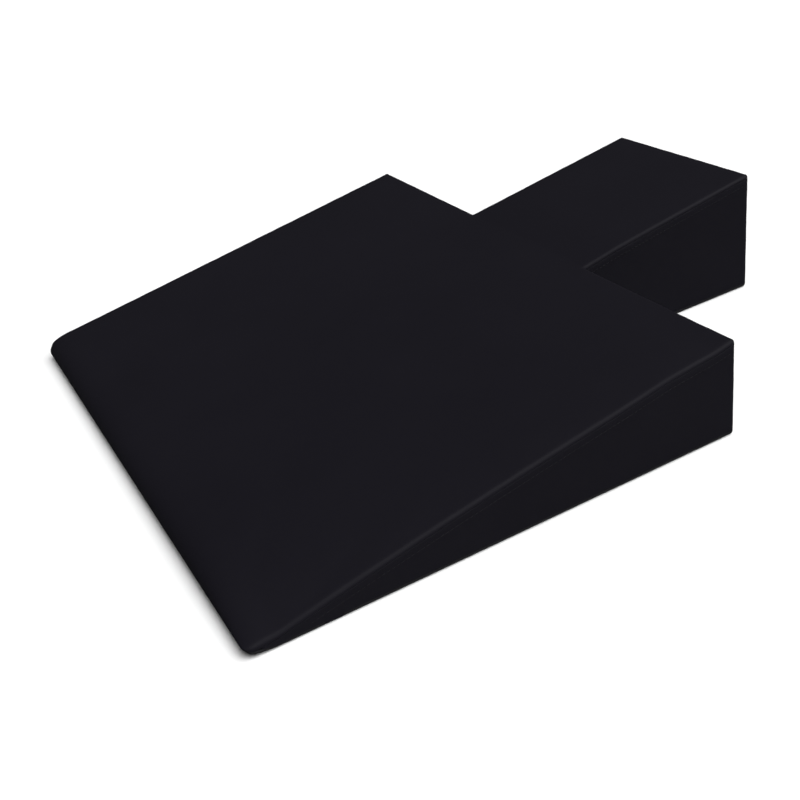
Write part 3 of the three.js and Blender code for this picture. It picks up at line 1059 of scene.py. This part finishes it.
class Nodes:
    """A material's node tree, with short ways to add and join nodes."""

    def __init__(self, name):
        self.material = bpy.data.materials.new(name)
        self.material.use_nodes = True
        self.tree = self.material.node_tree
        self.tree.nodes.clear()
        self.output = self.tree.nodes.new("ShaderNodeOutputMaterial")
        self.shader = self.tree.nodes.new("ShaderNodeBsdfPrincipled")
        self.tree.links.new(self.shader.outputs[0], self.output.inputs["Surface"])
        self.place = self.tree.nodes.new("ShaderNodeTexCoord").outputs["Object"]

    def add(self, kind, inputs=None, **settings):
        node = self.tree.nodes.new(kind)
        for key, value in settings.items():
            setattr(node, key, value)
        for key, value in (inputs or {}).items():
            self.give(node, key, value)
        return node

    def give(self, node, key, value):
        if isinstance(value, bpy.types.NodeSocket):
            self.tree.links.new(value, node.inputs[key])
        else:
            node.inputs[key].default_value = value

    def noise(self, scale, detail=3.0, roughness=0.5):
        inputs = {"Vector": self.place, "Scale": scale, "Detail": detail}
        inputs["Roughness"] = roughness
        return self.add("ShaderNodeTexNoise", inputs).outputs[0]

    def cells(self, scale):
        inputs = {"Vector": self.place, "Scale": scale}
        node = self.add("ShaderNodeTexVoronoi", inputs, feature="DISTANCE_TO_EDGE")
        return node.outputs["Distance"]

    def wave(self, scale, distortion, direction):
        inputs = {"Vector": self.place, "Scale": scale, "Distortion": distortion}
        return self.add("ShaderNodeTexWave", inputs, bands_direction=direction).outputs["Fac"]

    def ramp(self, value, low, high):
        """Value 0 gives low and value 1 gives high, as a number."""
        inputs = {"Value": value, "To Min": low, "To Max": high}
        return self.add("ShaderNodeMapRange", inputs).outputs[0]

    def span(self, value, start, end, low=0.0, high=1.0):
        inputs = {"Value": value, "From Min": start, "From Max": end, "To Min": low, "To Max": high}
        return self.add("ShaderNodeMapRange", inputs).outputs[0]

    def blend(self, value, one, two):
        """Colour one where value is 0, colour two where it is 1."""
        mix = self.add("ShaderNodeMix", {"Factor": value}, data_type="RGBA")
        mix.inputs[6].default_value = (*one, 1)
        mix.inputs[7].default_value = (*two, 1)
        return mix.outputs[2]

    def maths(self, operation, a, b):
        return self.add("ShaderNodeMath", {0: a, 1: b}, operation=operation).outputs[0]

    def share(self, a, b, part):
        """A part of a, and the rest of b."""
        return self.maths("ADD", self.maths("MULTIPLY", a, part), self.maths("MULTIPLY", b, 1 - part))

    def bump(self, height, strength, distance, normal=None):
        inputs = {"Height": height, "Strength": strength, "Distance": distance}
        if normal is not None:
            inputs["Normal"] = normal
        return self.add("ShaderNodeBump", inputs).outputs[0]

    def set(self, **inputs):
        for key, value in inputs.items():
            self.give(self.shader, key.replace("_", " "), value)


def coated_fabric():
    """Matte black coated fabric: a fine pebbled grain, with the shade and gloss wandering a little."""
    m = Nodes("coated_fabric")
    cloud = m.noise(9, 4, 0.6)
    speck = m.noise(420, 2)
    grain = m.cells(780)
    shade = m.share(cloud, speck, 0.7)
    m.set(Base_Color=m.blend(shade, (0.0058, 0.0053, 0.0080), (0.0080, 0.0074, 0.0109)))
    m.set(Roughness=m.ramp(m.share(cloud, speck, 0.6), 0.5, 0.64), Specular_IOR_Level=0.065)
    fine = m.bump(m.span(grain, 0.0, 0.28), 0.35, 0.05 * MM)
    m.set(Normal=m.bump(m.noise(160, 3), 0.18, 0.25 * MM, fine))
    return m.material


def base_fabric():
    """Black woven backing of the non-slip base."""
    m = Nodes("base_fabric")
    weave = m.maths("MULTIPLY", m.wave(260, 0.6, "X"), m.wave(260, 0.6, "Y"))
    m.set(Base_Color=m.blend(m.noise(30, 4), (0.0075, 0.0075, 0.0085), (0.0125, 0.0125, 0.0140)))
    m.set(Roughness=m.ramp(weave, 0.92, 0.78), Specular_IOR_Level=0.2)
    m.set(Normal=m.bump(weave, 0.6, 0.15 * MM))
    return m.material


def grip_rubber():
    """The dots printed on the base."""
    m = Nodes("grip_rubber")
    m.set(Base_Color=m.blend(m.noise(120, 3), (0.012, 0.012, 0.013), (0.020, 0.020, 0.021)))
    m.set(Roughness=m.ramp(m.noise(900, 2), 0.42, 0.6), Specular_IOR_Level=0.4)
    m.set(Normal=m.bump(m.noise(1500, 2), 0.2, 0.04 * MM))
    return m.material


def sewing_thread():
    """Black polyester thread, finely fibrous."""
    m = Nodes("sewing_thread")
    ply = m.noise(2600, 2, 0.6)
    m.set(Base_Color=m.blend(ply, (0.0060, 0.0057, 0.0078), (0.0115, 0.0110, 0.0140)))
    m.set(Roughness=m.ramp(ply, 0.5, 0.7), Specular_IOR_Level=0.12)
    m.set(Normal=m.bump(ply, 0.5, 0.08 * MM))
    return m.material


def foam_matter():
    """Grey open-cell foam."""
    m = Nodes("foam_matter")
    pores = m.cells(1100)
    m.set(Base_Color=m.blend(m.noise(260, 4, 0.7), (0.20, 0.205, 0.21), (0.31, 0.315, 0.32)))
    m.set(Roughness=m.ramp(pores, 0.98, 0.86), Specular_IOR_Level=0.2)
    m.set(Normal=m.bump(m.span(pores, 0, 0.3), 0.9, 0.5 * MM))
    return m.material


def tape_cloth():
    """The zip tape's close slanting weave."""
    m = Nodes("tape_cloth")
    rib = m.wave(420, 1.2, "DIAGONAL")
    m.set(Base_Color=m.blend(rib, (0.0060, 0.0060, 0.0068), (0.0110, 0.0110, 0.0120)))
    m.set(Roughness=m.ramp(m.noise(300, 3), 0.8, 0.92), Specular_IOR_Level=0.25)
    m.set(Normal=m.bump(rib, 0.7, 0.12 * MM))
    return m.material


def coil_nylon():
    """Black nylon filament."""
    m = Nodes("coil_nylon")
    m.set(Base_Color=m.blend(m.noise(500, 2), (0.009, 0.009, 0.010), (0.015, 0.015, 0.017)))
    m.set(Roughness=m.ramp(m.noise(900, 3), 0.28, 0.42), Specular_IOR_Level=0.5)
    return m.material


def enamelled_metal():
    """Black enamel over zinc, rubbed thin in small spots."""
    m = Nodes("enamelled_metal")
    rubbed = m.span(m.noise(520, 5, 0.7), 0.6, 0.72, 0.0, 0.6)
    m.set(Base_Color=m.blend(rubbed, (0.014, 0.014, 0.016), (0.20, 0.195, 0.19)))
    m.set(Metallic=m.ramp(rubbed, 0.2, 0.95))
    m.set(Roughness=m.ramp(m.noise(260, 4), 0.26, 0.4))
    m.set(Normal=m.bump(m.noise(900, 3), 0.15, 0.05 * MM))
    return m.material


def dress(piece, material):
    """Gives a piece its material."""
    piece.data.materials.clear()
    piece.data.materials.append(material)


def add_piece(piece, material, replaced=None):
    """Makes a piece part of the wedge, in the place of a CAD node if one is named."""
    if replaced:
        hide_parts(replaced)
    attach(piece, ROOT)
    dress(piece, material)


# --- Stage ---

CAMERA_PLACE = (-0.4440, -0.8898, 0.5316)
CAMERA_TURN = 1.1485  # of the view from +X towards +Y
CAMERA_DIP = 0.5263  # of the view below the horizon
CAMERA_ROLL = -0.1588
LENS_MM = 49.62
SENSOR_MM = 36


def make_camera():
    level = math.cos(CAMERA_DIP)
    ahead = (level * math.cos(CAMERA_TURN), level * math.sin(CAMERA_TURN), -math.sin(CAMERA_DIP))
    ahead = Vector(ahead)
    right = ahead.cross(Vector((0, 0, 1))).normalized()
    up = right.cross(ahead)
    cosine, sine = math.cos(CAMERA_ROLL), math.sin(CAMERA_ROLL)
    right, up = cosine * right + sine * up, cosine * up - sine * right
    camera = bpy.data.objects.new("camera", bpy.data.cameras.new("camera"))
    camera.data.lens = LENS_MM
    camera.data.sensor_width = SENSOR_MM
    camera.data.clip_start = 0.01
    turn = Matrix((right, up, -ahead)).transposed()
    camera.matrix_world = Matrix.Translation(CAMERA_PLACE) @ turn.to_4x4()
    bpy.context.scene.collection.objects.link(camera)
    bpy.context.scene.camera = camera


STUDIO_PLAN = ((-12.0, -12.0), (12.0, -12.0), (12.0, 12.0), (-12.0, 12.0))
WALL_HEIGHT = 8.0


def make_floor():
    """A plain pale floor, large enough to fill every view from above."""
    floor = object_from("floor", [(x, y, 0) for x, y in STUDIO_PLAN], [(0, 1, 2, 3)])
    m = Nodes("floor_paint")
    m.set(Base_Color=(0.9, 0.9, 0.9, 1), Roughness=0.9, Specular_IOR_Level=0.1)
    floor.data.materials.append(m.material)
    floor.visible_glossy = False  # keeps its glare off the upright panels


def make_walls():
    """Pale walls at the floor's edge, behind the low views. They neither light the object nor
    show in it."""
    corners = [(x, y, z) for z in (0, WALL_HEIGHT) for x, y in STUDIO_PLAN]
    faces = [(k, (k + 1) % 4, 4 + (k + 1) % 4, 4 + k) for k in range(4)]
    walls = object_from("walls", corners, faces)
    m = Nodes("wall_paint")
    m.set(Base_Color=(0, 0, 0, 1), Roughness=1.0, Specular_IOR_Level=0.0)
    m.set(Emission_Color=(1, 1, 1, 1), Emission_Strength=1.0)
    walls.data.materials.append(m.material)
    walls.visible_diffuse = False
    walls.visible_glossy = False
    walls.visible_shadow = False


KEY_FROM = (0.30, -0.42, 0.86)  # the direction the light comes from
KEY_SPREAD = math.radians(70)  # as wide as a large soft box overhead
KEY_STRENGTH = 4.3
ROOM_LIGHT = 0.08


def make_lights():
    """One broad soft light from the near right, and a dim even room, so that the mirror direction
    of the sloped top stays dark."""
    data = bpy.data.lights.new("key_light", "SUN")
    data.energy = KEY_STRENGTH
    data.angle = KEY_SPREAD
    key = bpy.data.objects.new("key_light", data)
    key.rotation_euler = Vector(KEY_FROM).to_track_quat("Z", "Y").to_euler()
    bpy.context.scene.collection.objects.link(key)
    world = bpy.data.worlds.new("studio")
    world.use_nodes = True
    room = world.node_tree.nodes["Background"].inputs
    room["Color"].default_value = (1, 1, 1, 1)
    room["Strength"].default_value = ROOM_LIGHT
    bpy.context.scene.world = world
    bpy.context.scene.view_settings.view_transform = "Standard"


# --- Everything ---

make_camera()
make_floor()
make_walls()
make_lights()

cover_finish = coated_fabric()
base_finish = base_fabric()
cover, cover_surfaces = make_cover()
for name, piece in cover.items():
    if name in BASE_PANELS:
        dress(piece, base_finish)
    else:
        dress(piece, cover_finish)
make_foam(foam_matter())
thread_finish = sewing_thread()
make_topstitching(cover_surfaces, thread_finish)
make_zip_stitching(cover_surfaces, thread_finish)
make_dots(cover_surfaces, grip_rubber())
make_zip(tape_cloth(), coil_nylon(), enamelled_metal())
